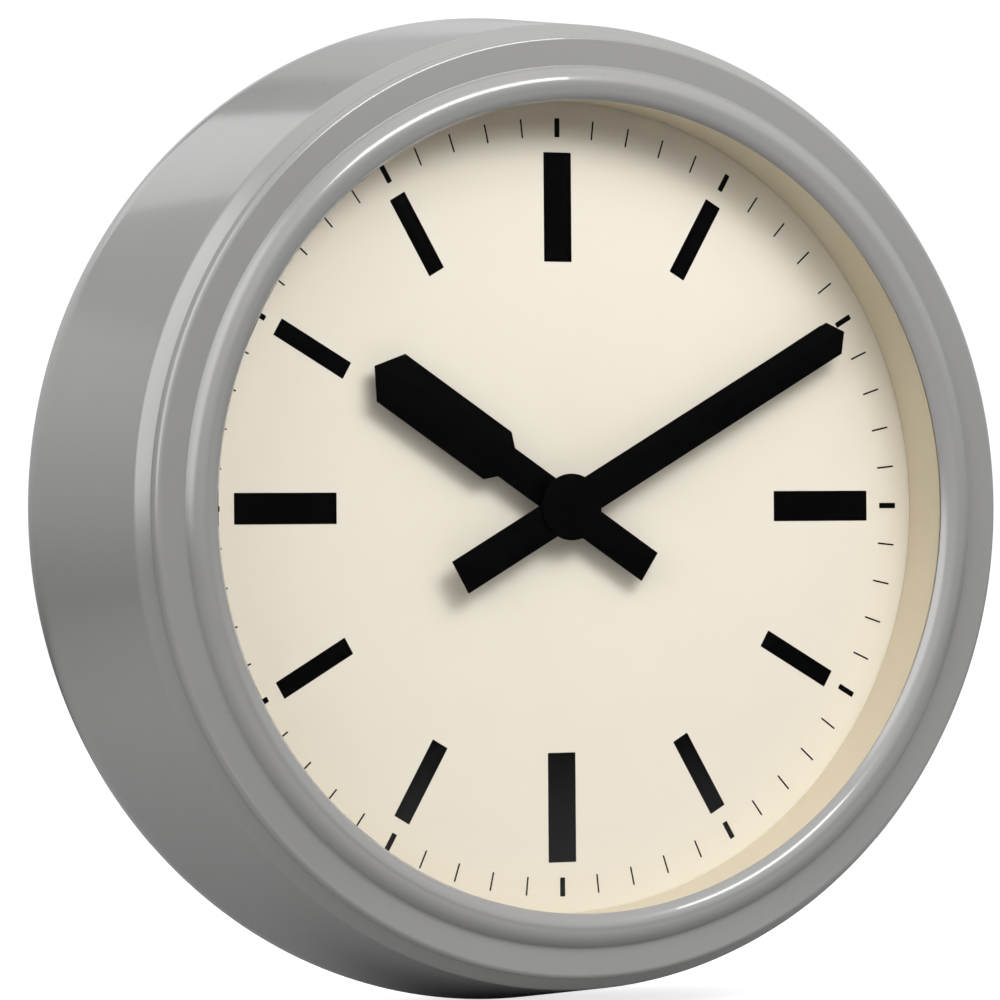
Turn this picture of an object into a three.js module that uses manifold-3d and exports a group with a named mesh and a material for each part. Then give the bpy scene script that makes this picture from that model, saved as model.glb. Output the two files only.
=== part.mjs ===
// Round deep-cased wall clock, about 450 mm across, with its quartz movement.
// Millimetres. +X is to the right, +Z is up and the dial faces -Y. The rear rim rests on the wall
// plane y = 0, and every round piece turns about the Y axis or about an axis parallel to it.
import * as THREE from "three";
import { mergeVertices } from "three/addons/utils/BufferGeometryUtils.js";
import Module from "manifold-3d";

const wasm = await Module();
wasm.setup();

// ---- Driving dimensions ----
const CASE_RADIUS = 225; // widest point of the drum
const REAR_ROUND = 42; // radius that rolls the drum into its back
const CASE_TAPER = THREE.MathUtils.degToRad(7); // the drum narrows towards the dial
const SHOULDER_CHAMFER = 5.6; // between the tapered side and the front flange
const CASE_SHEET = 1.6;
const BODY_DEPTH = 136.2; // wall plane to the front flange of the drum
const DIAL_RECESS = 26.2; // front flange to the printed face
const DIAL_FROM_WALL = BODY_DEPTH - DIAL_RECESS;
const DIAL_SHEET = 1.2;

const BEZEL_SHEET = 1.2;
const BEZEL_HEIGHT = 5.6; // flange to the flat ring
const BEZEL_EDGE_ROUND = 2.4;
const BEZEL_RING_FALL = 0.6; // the flat ring sinks this much towards the roll
const RING_WIDTH = 13.9; // outer edge of the bezel to the foot of the roll
const LIP_ROUND = 8.5; // rolled lip around the glass
const LIP_OUT = THREE.MathUtils.degToRad(65);
const LIP_IN = THREE.MathUtils.degToRad(62);
const LIP_COVER = 5.6; // centre of the roll to the part of the dial that is seen

const GLASS_THICK = 3;
const STUD_RADIUS = 2;
const STUD_LENGTH = 14;
const POST_RADIUS = 4;

const PANEL_SHEET = 1.5;
const COVER_RADIUS = 66;
const COVER_TWIST = 30; // degrees from locked to free
const TAB_COUNT = 3;

const BATTERY_RADIUS = 7;
const BATTERY_LENGTH = 49.2;
const MOVEMENT_SIDE = BATTERY_LENGTH + 6.8; // the cell lies across the whole movement
const SHELL_WALL = 1;
const FRONT_SHELL_DEPTH = 6.4;
const BACK_SHELL_DEPTH = 7.7;

const MINUTE_ANGLE = 60.6; // clockwise from twelve, degrees
const HOUR_ANGLE = 303.4;

// ---- Clearances ----
const GAP = 0.3; // between pieces that rest on each other
const BORE_GAP = 0.4; // on the radius of a screw or stud in its hole
const SHAFT_GAP = 0.3; // on the radius of a shaft in its bearing

// ---- Finish of each material ----
const FINISH = {
  enamel: { color: 0x9d9c99, roughness: 0.25, metalness: 0 },
  enamelInside: { color: 0x8b8a87, roughness: 0.35, metalness: 0 },
  cream: { color: 0xf3ead2, roughness: 0.45, metalness: 0 },
  black: { color: 0x0c0c0d, roughness: 0.35, metalness: 0 },
  blackPlastic: { color: 0x1a1a1c, roughness: 0.5, metalness: 0 },
  zincSteel: { color: 0xb9bcc0, roughness: 0.35, metalness: 1 },
  brass: { color: 0xc9a45a, roughness: 0.3, metalness: 1 },
  copper: { color: 0xb0562d, roughness: 0.35, metalness: 1 },
  rubber: { color: 0x222222, roughness: 0.8, metalness: 0 },
  whiteNylon: { color: 0xe9e6df, roughness: 0.45, metalness: 0 },
  board: { color: 0x2f6b45, roughness: 0.5, metalness: 0 },
  cell: { color: 0x2e5f8f, roughness: 0.35, metalness: 0 },
  glass: { color: 0xe8f2ee, roughness: 0.03, metalness: 0 },
};

const clock = new THREE.Group();
clock.name = "wall_clock";

function add(name, geometry, finish, options = {}) {
  const material = new THREE.MeshStandardMaterial({ ...FINISH[finish], ...options });
  const mesh = new THREE.Mesh(geometry, material);
  mesh.name = name;
  clock.add(mesh);
}

// ---- Solid helpers ----
function toSolid(geometry) {
  const bare = new THREE.BufferGeometry();
  const flat = geometry.index ? geometry.toNonIndexed() : geometry;
  bare.setAttribute("position", flat.getAttribute("position"));
  const merged = mergeVertices(bare, 1e-4);
  const mesh = new wasm.Mesh({
    numProp: 3,
    vertProperties: new Float32Array(merged.attributes.position.array),
    triVerts: new Uint32Array(merged.index.array),
  });
  return new wasm.Manifold(mesh);
}

function toGeometry(solid) {
  const mesh = solid.getMesh();
  const positions = new Float32Array(mesh.vertProperties);
  const geometry = new THREE.BufferGeometry();
  geometry.setAttribute("position", new THREE.BufferAttribute(positions, 3));
  geometry.setIndex(new THREE.BufferAttribute(new Uint32Array(mesh.triVerts), 1));
  geometry.computeVertexNormals();
  return geometry;
}

function join(...geometries) {
  return toGeometry(geometries.map(toSolid).reduce((sum, solid) => sum.add(solid)));
}

function cut(body, ...tools) {
  return toGeometry(tools.map(toSolid).reduce((rest, tool) => rest.subtract(tool), toSolid(body)));
}

// A closed (radius, y) profile turned about the Y axis.
function turned(profile, segments) {
  const area = profile.reduce((sum, [r, y], i) => {
    const [nextR, nextY] = profile[(i + 1) % profile.length];
    return sum + r * nextY - nextR * y;
  }, 0);
  const ordered = area > 0 ? profile : [...profile].reverse();
  const points = [...ordered, ordered[0]].map(([r, y]) => new THREE.Vector2(r, y));
  return new THREE.LatheGeometry(points, segments);
}

// Formed sheet: an open (radius, y) path given a thickness on its right-hand side.
function sheetProfile(path, thickness) {
  const unit = (a, b) => {
    const length = Math.hypot(b[0] - a[0], b[1] - a[1]);
    return [(b[0] - a[0]) / length, (b[1] - a[1]) / length];
  };
  const inner = path.map((point, i) => {
    const before = unit(path[Math.max(i - 1, 0)], path[Math.max(i, 1)]);
    const after = unit(path[Math.min(i, path.length - 2)], path[Math.min(i + 1, path.length - 1)]);
    const bisector = [before[0] + after[0], before[1] + after[1]];
    const length = Math.hypot(bisector[0], bisector[1]);
    const stretch = thickness / ((before[0] * bisector[0] + before[1] * bisector[1]) / length);
    return [
      point[0] + (stretch * bisector[1]) / length,
      point[1] - (stretch * bisector[0]) / length,
    ];
  });
  return [...path, ...inner.reverse()];
}

// Points of an arc in the (radius, y) plane, angles measured from the +radius direction.
function arc(centreR, centreY, radius, from, to, steps) {
  return Array.from({ length: steps + 1 }, (_, i) => {
    const angle = from + ((to - from) * i) / steps;
    return [centreR + radius * Math.cos(angle), centreY + radius * Math.sin(angle)];
  });
}

// A cylinder along Y between two depths.
function rod(radius, fromY, toY, x = 0, z = 0, segments = 12) {
  const geometry = new THREE.CylinderGeometry(radius, radius, Math.abs(toY - fromY), segments);
  return geometry.translate(x, (fromY + toY) / 2, z);
}

function tube(outer, inner, fromY, toY, segments = 16) {
  const profile = [
    [inner, fromY],
    [outer, fromY],
    [outer, toY],
    [inner, toY],
  ];
  return turned(profile, segments);
}

function block(fromX, toX, fromY, toY, fromZ, toZ) {
  const geometry = new THREE.BoxGeometry(toX - fromX, toY - fromY, toZ - fromZ);
  return geometry.translate((fromX + toX) / 2, (fromY + toY) / 2, (fromZ + toZ) / 2);
}

// A flat plate whose outline is seen from the front, between two depths.
function plate(shape, frontY, backY) {
  const settings = { depth: backY - frontY, bevelEnabled: false, curveSegments: 12 };
  return new THREE.ExtrudeGeometry(shape, settings).rotateX(Math.PI / 2).translate(0, backY, 0);
}

function outline(points) {
  return new THREE.Shape(points.map(([x, z]) => new THREE.Vector2(x, z)));
}

function polar(radius, degrees) {
  const angle = THREE.MathUtils.degToRad(degrees);
  return [radius * Math.cos(angle), radius * Math.sin(angle)];
}

// Depth of a plane given as its distance behind the printed face, negative towards the glass.
function behindDial(distance) {
  return distance - DIAL_FROM_WALL;
}

// ---- Case, bezel and glass ----
const REAR_LEDGE_DEPTH = 4; // the back panel sinks this far below the rear rim
const REAR_RIM_WIDTH = 17; // tangent point of the rear round to the step down to the ledge
const REAR_LEDGE_WIDTH = 16;
const DRUM_SEGMENTS = 48;
const FRONT_Y = -BODY_DEPTH;
const rearCentre = CASE_RADIUS - REAR_ROUND;
const REAR_RIM_INNER = rearCentre - REAR_RIM_WIDTH;
const REAR_LEDGE_INNER = REAR_RIM_INNER - REAR_LEDGE_WIDTH;
const shoulderY = FRONT_Y + SHOULDER_CHAMFER;
// The tapered side is tangent to the rear round. It stops at the chamfer, and the chamfer
// meets the flange at this radius.
const flangeEdgeR =
  rearCentre +
  (REAR_ROUND - SHOULDER_CHAMFER + Math.sin(CASE_TAPER) * (REAR_ROUND + shoulderY)) /
    Math.cos(CASE_TAPER);
const BEZEL_RADIUS = flangeEdgeR + 0.2;
const STUD_CIRCLE = BEZEL_RADIUS - 8;
const studAngles = [45, 135, 225, 315];

function caseDrum() {
  const path = [
    [REAR_LEDGE_INNER, -REAR_LEDGE_DEPTH],
    [REAR_RIM_INNER - 1, -REAR_LEDGE_DEPTH],
    [REAR_RIM_INNER, 0],
    ...arc(rearCentre, -REAR_ROUND, REAR_ROUND, Math.PI / 2, -CASE_TAPER, 7),
    ...arc(flangeEdgeR, shoulderY, SHOULDER_CHAMFER, -CASE_TAPER, -Math.PI / 2, 1),
    [FLANGE_INNER, FRONT_Y],
  ];
  const shell = turned(sheetProfile(path, CASE_SHEET), DRUM_SEGMENTS);
  const studHoles = studAngles.map((angle) => {
    const [x, z] = polar(STUD_CIRCLE, angle);
    return rod(STUD_RADIUS + BORE_GAP, FRONT_Y - 1, FRONT_Y + CASE_SHEET + 1, x, z, 12);
  });
  const holeFrom = -REAR_LEDGE_DEPTH - CASE_SHEET - 1;
  const holeTo = -REAR_LEDGE_DEPTH + 1;
  const screwHoles = panelScrewSpots().map(([x, z]) =>
    rod(PANEL_SCREW_RADIUS + GAP, holeFrom, holeTo, x, z, 12),
  );
  return cut(shell, ...studHoles, ...screwHoles);
}

const bezelBackY = FRONT_Y - GAP;
const bezelRingY = FRONT_Y - BEZEL_HEIGHT;
const cornerY = bezelRingY + BEZEL_RING_FALL;
const lipCentreY = cornerY + LIP_ROUND * Math.cos(LIP_OUT);
const lipCentreR = BEZEL_RADIUS - RING_WIDTH - LIP_ROUND * Math.sin(LIP_OUT);
const lipEndY = lipCentreY - LIP_ROUND * Math.cos(LIP_IN);
const glassFrontY = lipEndY + BEZEL_SHEET * Math.cos(LIP_IN) + 2 * GAP;
const glassBackY = glassFrontY + GLASS_THICK;
const GLASS_RADIUS = lipCentreR + 2.6;
const FACE_RADIUS = lipCentreR - LIP_COVER; // part of the dial seen inside the reflector ring
const FLANGE_INNER = FACE_RADIUS + 2.7;

function bezel() {
  const edgeR = BEZEL_RADIUS - BEZEL_EDGE_ROUND;
  const edgeY = bezelRingY + BEZEL_EDGE_ROUND;
  const path = [
    [BEZEL_RADIUS, bezelBackY],
    ...arc(edgeR, edgeY, BEZEL_EDGE_ROUND, 0, -Math.PI / 2, 2),
    ...arc(lipCentreR, lipCentreY, LIP_ROUND, LIP_OUT - Math.PI / 2, -LIP_IN - Math.PI / 2, 7),
  ];
  const shell = turned(sheetProfile(path, BEZEL_SHEET), DRUM_SEGMENTS);
  const studs = studAngles.map((angle) => {
    const [x, z] = polar(STUD_CIRCLE, angle);
    return rod(STUD_RADIUS, bezelRingY + BEZEL_SHEET - 0.3, bezelRingY + STUD_LENGTH, x, z, 12);
  });
  return join(shell, ...studs);
}

// ---- Dial, reflector ring and the posts between them ----
const DIAL_RADIUS = BEZEL_RADIUS - 2;
const dialBackY = behindDial(DIAL_SHEET);
const STEM_RADIUS = 4;

function dialPlate() {
  const disc = rod(DIAL_RADIUS, behindDial(0), dialBackY, 0, 0, DRUM_SEGMENTS);
  const centreHole = rod(STEM_RADIUS + GAP, behindDial(-1), dialBackY + 1, 0, 0, 24);
  const screwHoles = studAngles.map((angle) => {
    const [x, z] = polar(STUD_CIRCLE, angle);
    return rod(STUD_RADIUS + BORE_GAP, behindDial(-1), dialBackY + 1, x, z, 12);
  });
  return cut(disc, centreHole, ...screwHoles);
}

function reflectorRing() {
  const wall = 1;
  const foot = 4;
  const backY = behindDial(0) - GAP;
  const profile = [
    [FACE_RADIUS, glassBackY + GAP],
    [FACE_RADIUS + wall, glassBackY + GAP],
    [FACE_RADIUS + wall, backY - wall],
    [FACE_RADIUS + foot, backY - wall],
    [FACE_RADIUS + foot, backY],
    [FACE_RADIUS, backY],
  ];
  return turned(profile, DRUM_SEGMENTS);
}

function dialPost(x, z) {
  const frontY = FRONT_Y + CASE_SHEET + GAP;
  const post = rod(POST_RADIUS, frontY, behindDial(0) - GAP, x, z, 6);
  const bore = rod(STUD_RADIUS + GAP, frontY - 1, behindDial(0) + 1, x, z, 12);
  return cut(post, bore);
}

function dialScrew(x, z) {
  const headY = dialBackY + GAP;
  const head = rod(STUD_RADIUS + 1.6, headY, headY + 2, x, z, 12);
  const shank = rod(STUD_RADIUS, behindDial(-7), headY + 0.5, x, z, 12);
  const slot = block(x - 4, x + 4, headY + 1.2, headY + 3, z - 0.4, z + 0.4);
  return cut(join(head, shank), slot);
}

// ---- Back panel, hanger and battery cover ----
const PANEL_RADIUS = REAR_RIM_INNER - 2;
const panelFrontY = -REAR_LEDGE_DEPTH + GAP;
const panelBackY = panelFrontY + PANEL_SHEET;
const OPENING_RADIUS = COVER_RADIUS - 6;
const TAB_REACH = 3.5;
const TAB_ANGLE = 16;
const NOTCH_ANGLE = 26;
const HANGER_Z = PANEL_RADIUS - 44;
const HANGER_HALF_WIDTH = 30;
const HANGER_HALF_HEIGHT = 16;
const KEYHOLE_RADIUS = 5;
const KEYHOLE_SLOT = 5.2;
const KEYHOLE_RISE = 11;
const RIVET_X = 23;
const RIVET_RADIUS = 1.7;
const PANEL_SCREW_RADIUS = 1.7;
const PANEL_SCREW_CIRCLE = (REAR_LEDGE_INNER + PANEL_RADIUS) / 2;

function panelScrewSpots() {
  return [20, 160, 225, 315].map((angle) => polar(PANEL_SCREW_CIRCLE, angle));
}

// A sector of a disc, for the tabs and the notches they pass.
function sector(radius, centreDegrees, widthDegrees, frontY, backY) {
  const points = [[0, 0]];
  for (let i = 0; i <= 4; i++) {
    points.push(polar(radius, centreDegrees + widthDegrees * (i / 4 - 0.5)));
  }
  return plate(outline(points), frontY, backY);
}

function backPanel() {
  const disc = rod(PANEL_RADIUS, panelFrontY, panelBackY, 0, 0, DRUM_SEGMENTS);
  const opening = rod(OPENING_RADIUS, panelFrontY - 1, panelBackY + 1, 0, 0, 36);
  const notches = Array.from({ length: TAB_COUNT }, (_, i) =>
    sector(
      OPENING_RADIUS + TAB_REACH + 0.8,
      90 + (360 / TAB_COUNT) * i - COVER_TWIST,
      NOTCH_ANGLE,
      panelFrontY - 1,
      panelBackY + 1,
    ),
  );
  const window = block(
    -KEYHOLE_RADIUS - 3,
    KEYHOLE_RADIUS + 3,
    panelFrontY - 1,
    panelBackY + 1,
    HANGER_Z - HANGER_HALF_HEIGHT + 2,
    HANGER_Z + HANGER_HALF_HEIGHT - 2,
  );
  const rivetHoles = [-RIVET_X, RIVET_X].map((x) =>
    rod(RIVET_RADIUS + GAP, panelFrontY - 1, panelBackY + 1, x, HANGER_Z, 12),
  );
  const screwHoles = panelScrewSpots().map(([x, z]) =>
    rod(PANEL_SCREW_RADIUS + GAP, panelFrontY - 1, panelBackY + 1, x, z, 12),
  );
  return cut(disc, opening, ...notches, window, ...rivetHoles, ...screwHoles);
}

function batteryCover() {
  const backY = -0.5;
  const lidY = panelBackY + GAP;
  const tabBackY = panelFrontY - GAP - 0.1;
  const tabFrontY = tabBackY - 1.4;
  const lid = rod(COVER_RADIUS, lidY, backY, 0, 0, 36);
  const collar = tube(OPENING_RADIUS - 0.6, OPENING_RADIUS - 4, tabFrontY, lidY + 0.5, 36);
  const tabs = Array.from({ length: TAB_COUNT }, (_, i) => {
    const wedge = sector(
      OPENING_RADIUS + TAB_REACH,
      90 + (360 / TAB_COUNT) * i,
      TAB_ANGLE,
      tabFrontY,
      tabBackY,
    );
    return cut(wedge, rod(OPENING_RADIUS - 2, tabFrontY - 1, tabBackY + 1, 0, 0, 24));
  });
  const fingerHoles = [-20, 20].map((x) => rod(7, tabFrontY - 1, 1, x, 0, 16));
  return cut(join(lid, collar, ...tabs), ...fingerHoles);
}

function hangerPlate() {
  const backY = panelFrontY - GAP;
  const frontY = backY - 1.5;
  const body = block(
    -HANGER_HALF_WIDTH,
    HANGER_HALF_WIDTH,
    frontY,
    backY,
    HANGER_Z - HANGER_HALF_HEIGHT,
    HANGER_Z + HANGER_HALF_HEIGHT,
  );
  const eyeZ = HANGER_Z - 6;
  const eye = rod(KEYHOLE_RADIUS, frontY - 1, backY + 1, 0, eyeZ, 24);
  const slot = block(
    -KEYHOLE_SLOT / 2,
    KEYHOLE_SLOT / 2,
    frontY - 1,
    backY + 1,
    eyeZ,
    eyeZ + KEYHOLE_RISE,
  );
  const slotEnd = rod(KEYHOLE_SLOT / 2, frontY - 1, backY + 1, 0, eyeZ + KEYHOLE_RISE, 16);
  const rivetHoles = [-RIVET_X, RIVET_X].map((x) =>
    rod(RIVET_RADIUS + GAP, frontY - 1, backY + 1, x, HANGER_Z, 12),
  );
  return cut(body, eye, slot, slotEnd, ...rivetHoles);
}

function hangerRivet(x) {
  const headY = panelBackY + GAP;
  const clenchY = panelFrontY - GAP - 1.5 - GAP;
  const shank = rod(RIVET_RADIUS, clenchY - 0.5, headY + 0.5, x, HANGER_Z, 12);
  const head = rod(RIVET_RADIUS + 1.6, headY, headY + 1, x, HANGER_Z, 12);
  const clench = rod(RIVET_RADIUS + 1, clenchY - 1, clenchY, x, HANGER_Z, 12);
  return join(shank, head, clench);
}

function panelScrew(x, z) {
  const headY = panelBackY + GAP;
  const head = rod(3.6, headY, headY + 1.5, x, z, 12);
  const shank = rod(PANEL_SCREW_RADIUS, headY - 10, headY + 0.5, x, z, 12);
  const slot = block(x - 4, x + 4, headY + 0.9, headY + 2, z - 0.4, z + 0.4);
  return cut(join(head, shank), slot);
}

// ---- Hands ----
const MINUTE_REACH = FACE_RADIUS - 19.5; // axis to the tip of the hand
const HOUR_REACH = FACE_RADIUS - 68.5;
const HOUR_FRONT = 8.4; // front of each hand, ahead of the printed face
const HOUR_SHEET = 1;
const MINUTE_FRONT = 11.2;
const MINUTE_SHEET = 0.8;
const HUB_RADIUS = 14.9;
const HUB_SHEET = 0.8;
const HUB_CHAMFER = 0.3;
const PIPE_RADIUS = 2.5;
const ARBOR_RADIUS = 1.6;
const STEM_FRONT = 4.5; // the threaded stem ends this far ahead of the face

// An outline drawn pointing to twelve and turned clockwise to its time.
function handShape(points, degrees) {
  const angle = THREE.MathUtils.degToRad(degrees);
  return outline(
    points.map(([across, along]) => [
      across * Math.cos(angle) + along * Math.sin(angle),
      along * Math.cos(angle) - across * Math.sin(angle),
    ]),
  );
}

function mirrored(half) {
  const left = half.map(([across, along]) => [-across, along]);
  return [...half, ...left.filter(([across]) => across !== 0).reverse()];
}

function hourHand() {
  const stem = 7.5;
  const blade = 12.6;
  const half = [
    [stem, -49.2],
    [stem, 36.4],
    [blade, 41.8],
    [blade, HOUR_REACH - 9.4],
    [0, HOUR_REACH],
  ];
  const backY = behindDial(HOUR_SHEET - HOUR_FRONT);
  const blank = plate(handShape(mirrored(half), HOUR_ANGLE), behindDial(-HOUR_FRONT), backY);
  const collet = rod(PIPE_RADIUS + 2.2, backY - 0.5, behindDial(-STEM_FRONT) - BORE_GAP, 0, 0, 24);
  const bore = rod(PIPE_RADIUS + GAP, behindDial(-HOUR_FRONT - 1), behindDial(-1), 0, 0, 24);
  return cut(join(blank, collet), bore);
}

function minuteHand() {
  const width = 8.1;
  const half = [
    [width, -63.1],
    [width, MINUTE_REACH - 6.2],
    [0, MINUTE_REACH],
  ];
  const backY = behindDial(MINUTE_SHEET - MINUTE_FRONT);
  const blank = plate(handShape(mirrored(half), MINUTE_ANGLE), behindDial(-MINUTE_FRONT), backY);
  const collet = rod(ARBOR_RADIUS + 2, backY - 0.4, behindDial(-HOUR_FRONT) - BORE_GAP, 0, 0, 24);
  const bore = rod(ARBOR_RADIUS + GAP, behindDial(-MINUTE_FRONT - 1), behindDial(-1), 0, 0, 24);
  return cut(join(blank, collet), bore);
}

function hubCap() {
  const backY = behindDial(-MINUTE_FRONT) - GAP;
  const rim = rod(HUB_RADIUS, backY - HUB_SHEET + HUB_CHAMFER, backY, 0, 0, 36);
  const crown = new THREE.CylinderGeometry(HUB_RADIUS, HUB_RADIUS - HUB_CHAMFER, HUB_CHAMFER, 36);
  return join(rim, crown.translate(0, backY - HUB_SHEET + HUB_CHAMFER / 2, 0));
}

// ---- Gears ----
// Slender straight-flanked teeth with V-shaped gaps, so that meshing pieces never touch.
function gearShape(teeth, module, phaseDegrees) {
  const pitchRadius = (teeth * module) / 2;
  const pitch = 360 / teeth;
  const tip = pitchRadius + 0.45 * module;
  const root = pitchRadius - 1.05 * module;
  const points = [];
  for (let i = 0; i < teeth; i++) {
    const centre = phaseDegrees + i * pitch;
    points.push(polar(root, centre - 0.5 * pitch));
    points.push(polar(tip, centre - 0.05 * pitch));
    points.push(polar(tip, centre + 0.05 * pitch));
  }
  return outline(points);
}

// One gear of a train: its teeth and module, its axis, and the angle of one of its teeth.
function meshWith(driver, teeth, directionDegrees) {
  const distance = (driver.module * (driver.teeth + teeth)) / 2;
  const [dx, dz] = polar(distance, directionDegrees);
  const turnsInPitch = ((directionDegrees - driver.phase) * driver.teeth) / 360;
  const phase = directionDegrees + 180 - ((0.5 - turnsInPitch) * 360) / teeth;
  return { teeth, module: driver.module, phase, x: driver.x + dx, z: driver.z + dz };
}

function gear(wheel, frontDistance, thickness) {
  const shape = gearShape(wheel.teeth, wheel.module, wheel.phase);
  return plate(shape, behindDial(frontDistance), behindDial(frontDistance + thickness)).translate(
    wheel.x,
    0,
    wheel.z,
  );
}

function shaft(wheel, radius, frontDistance, backDistance, segments = 12) {
  return rod(radius, behindDial(frontDistance), behindDial(backDistance), wheel.x, wheel.z, segments);
}

// Depths inside the movement, measured behind the printed face.
const SHELL_FRONT = 2.6;
const SHELL_FLOOR = SHELL_FRONT + SHELL_WALL;
const SHELL_SPLIT = SHELL_FRONT + FRONT_SHELL_DEPTH;
const BACK_SHELL_END = SHELL_SPLIT + GAP + BACK_SHELL_DEPTH;
const HOUR_WHEEL_AT = 4.2;
const MOTION_AT = 5.9;
const BRIDGE_AT = 7.4;
const CENTRE_WHEEL_AT = 9.2;
const THIRD_WHEEL_AT = 11;
const SECONDS_WHEEL_AT = 12.8;
const ROTOR_PINION_AT = 8.7;
const WHEEL_THICK = 0.8;
const PINION_THICK = 1.4;
const PIVOT_RADIUS = 0.6;
const PIVOT_FRONT = 3;
const PIVOT_BACK = BACK_SHELL_END - 0.4;
const KNOB_SHAFT_RADIUS = 1.2;

// Motion work: twelve turns of the minute arbor to one of the hour pipe.
const MOTION_MODULE = 0.48;
const cannonPinion = { teeth: 14, module: MOTION_MODULE, phase: 0, x: 0, z: 0 };
const motionWheel = meshWith(cannonPinion, 42, 150);
const motionPinion = { ...motionWheel, teeth: 10, module: (MOTION_MODULE * (14 + 42)) / (10 + 40) };
const hourWheel = meshWith(motionPinion, 40, 330);
const knobPinion = meshWith(motionWheel, 12, 100);

// Going train: sixty turns of the seconds wheel to one of the centre wheel.
const centreWheel = { teeth: 45, module: 0.46, phase: 0, x: 0, z: 0 };
const thirdPinion = meshWith(centreWheel, 6, 60);
const thirdWheel = { ...thirdPinion, teeth: 48, module: 0.4 };
const secondsPinion = meshWith(thirdWheel, 6, -30);
const secondsWheel = { ...secondsPinion, teeth: 24, module: 0.53 };
const idlerPinion = meshWith(secondsWheel, 6, 60);
const idlerWheel = { ...idlerPinion, teeth: 45, module: 0.3 };
const rotorPinion = meshWith(idlerWheel, 6, 100);

function minuteArbor() {
  const pinion = gear(cannonPinion, MOTION_AT - 0.3, PINION_THICK);
  const spindle = rod(ARBOR_RADIUS, behindDial(-MINUTE_FRONT + 0.2), behindDial(11), 0, 0, 16);
  const seat = shaft(cannonPinion, ARBOR_RADIUS + 1, MOTION_AT + 0.6, BRIDGE_AT - 0.3, 16);
  return join(pinion, spindle, seat);
}

function hourWheelAndPipe() {
  const wheel = gear(hourWheel, HOUR_WHEEL_AT, WHEEL_THICK);
  const pipe = shaft(cannonPinion, PIPE_RADIUS, -HOUR_FRONT + 0.4, HOUR_WHEEL_AT + WHEEL_THICK, 24);
  const boreRadius = ARBOR_RADIUS + SHAFT_GAP;
  const bore = shaft(cannonPinion, boreRadius, -HOUR_FRONT - 1, HOUR_WHEEL_AT + 2, 16);
  return cut(join(wheel, pipe), bore);
}

function motionWheelAndPinion() {
  return join(
    gear(motionWheel, MOTION_AT, WHEEL_THICK),
    gear(motionPinion, HOUR_WHEEL_AT - 0.2, MOTION_AT - HOUR_WHEEL_AT + 0.4),
    shaft(motionWheel, PIVOT_RADIUS, PIVOT_FRONT, BRIDGE_AT + 0.6),
  );
}

function settingKnob() {
  const backY = BACK_SHELL_END + 0.4;
  const grip = shaft(knobPinion, 5, backY, backY + 4, 24);
  const flutes = Array.from({ length: 12 }, (_, i) => {
    const [dx, dz] = polar(5.3, i * 30);
    const [x, z] = [knobPinion.x + dx, knobPinion.z + dz];
    return rod(0.7, behindDial(backY - 1), behindDial(backY + 5), x, z, 8);
  });
  return join(
    gear(knobPinion, MOTION_AT - 0.3, PINION_THICK),
    shaft(knobPinion, KNOB_SHAFT_RADIUS, PIVOT_FRONT, backY + 1, 16),
    cut(grip, ...flutes),
  );
}

function centreWheelLoose() {
  const wheel = gear(centreWheel, CENTRE_WHEEL_AT, WHEEL_THICK);
  return cut(wheel, rod(ARBOR_RADIUS + SHAFT_GAP, behindDial(8), behindDial(12), 0, 0, 16));
}

function clutchSpring() {
  const front = BRIDGE_AT + 0.8 + 0.2;
  const bore = ARBOR_RADIUS + SHAFT_GAP;
  return tube(ARBOR_RADIUS + 2, bore, behindDial(front), behindDial(front + 0.4), 16);
}

// A wheel and the pinion on its shaft; the pinion starts just ahead of the wheel that it meets.
function trainWheel(pinion, driverAt, wheel, wheelAt, frontEnd) {
  return join(
    gear(pinion, driverAt - 0.3, PINION_THICK),
    gear(wheel, wheelAt, WHEEL_THICK),
    shaft(wheel, PIVOT_RADIUS, frontEnd, PIVOT_BACK),
  );
}

function rotor() {
  return join(
    shaft(rotorPinion, 3, 4.6, 7, 20),
    gear(rotorPinion, ROTOR_PINION_AT, PINION_THICK),
    shaft(rotorPinion, 0.5, PIVOT_FRONT, PIVOT_BACK),
  );
}

// ---- Movement body ----
const HALF_SIDE = MOVEMENT_SIDE / 2;
const CONTACT_SHEET = 0.4;
const CONTACT_X = HALF_SIDE - 1.8;
const TRAY_TOP = -(HALF_SIDE - SHELL_WALL - 2 * (BATTERY_RADIUS + GAP));
const PARTITION = 1;
const batteryZ = TRAY_TOP - GAP - BATTERY_RADIUS;
const batteryAt = SHELL_FLOOR + GAP + BATTERY_RADIUS;
const trainPivots = [thirdWheel, secondsWheel, idlerWheel, rotorPinion];
const STATOR_LEFT = 10;
const STATOR_RIGHT = HALF_SIDE - SHELL_WALL - 0.7;
const STATOR_BOTTOM = -9.6;
const STATOR_TOP = 23.1;
const STATOR_AT = 5.3;
const STATOR_THICK = 1.2;
const CORE_AT = STATOR_AT + STATOR_THICK + GAP;

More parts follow.
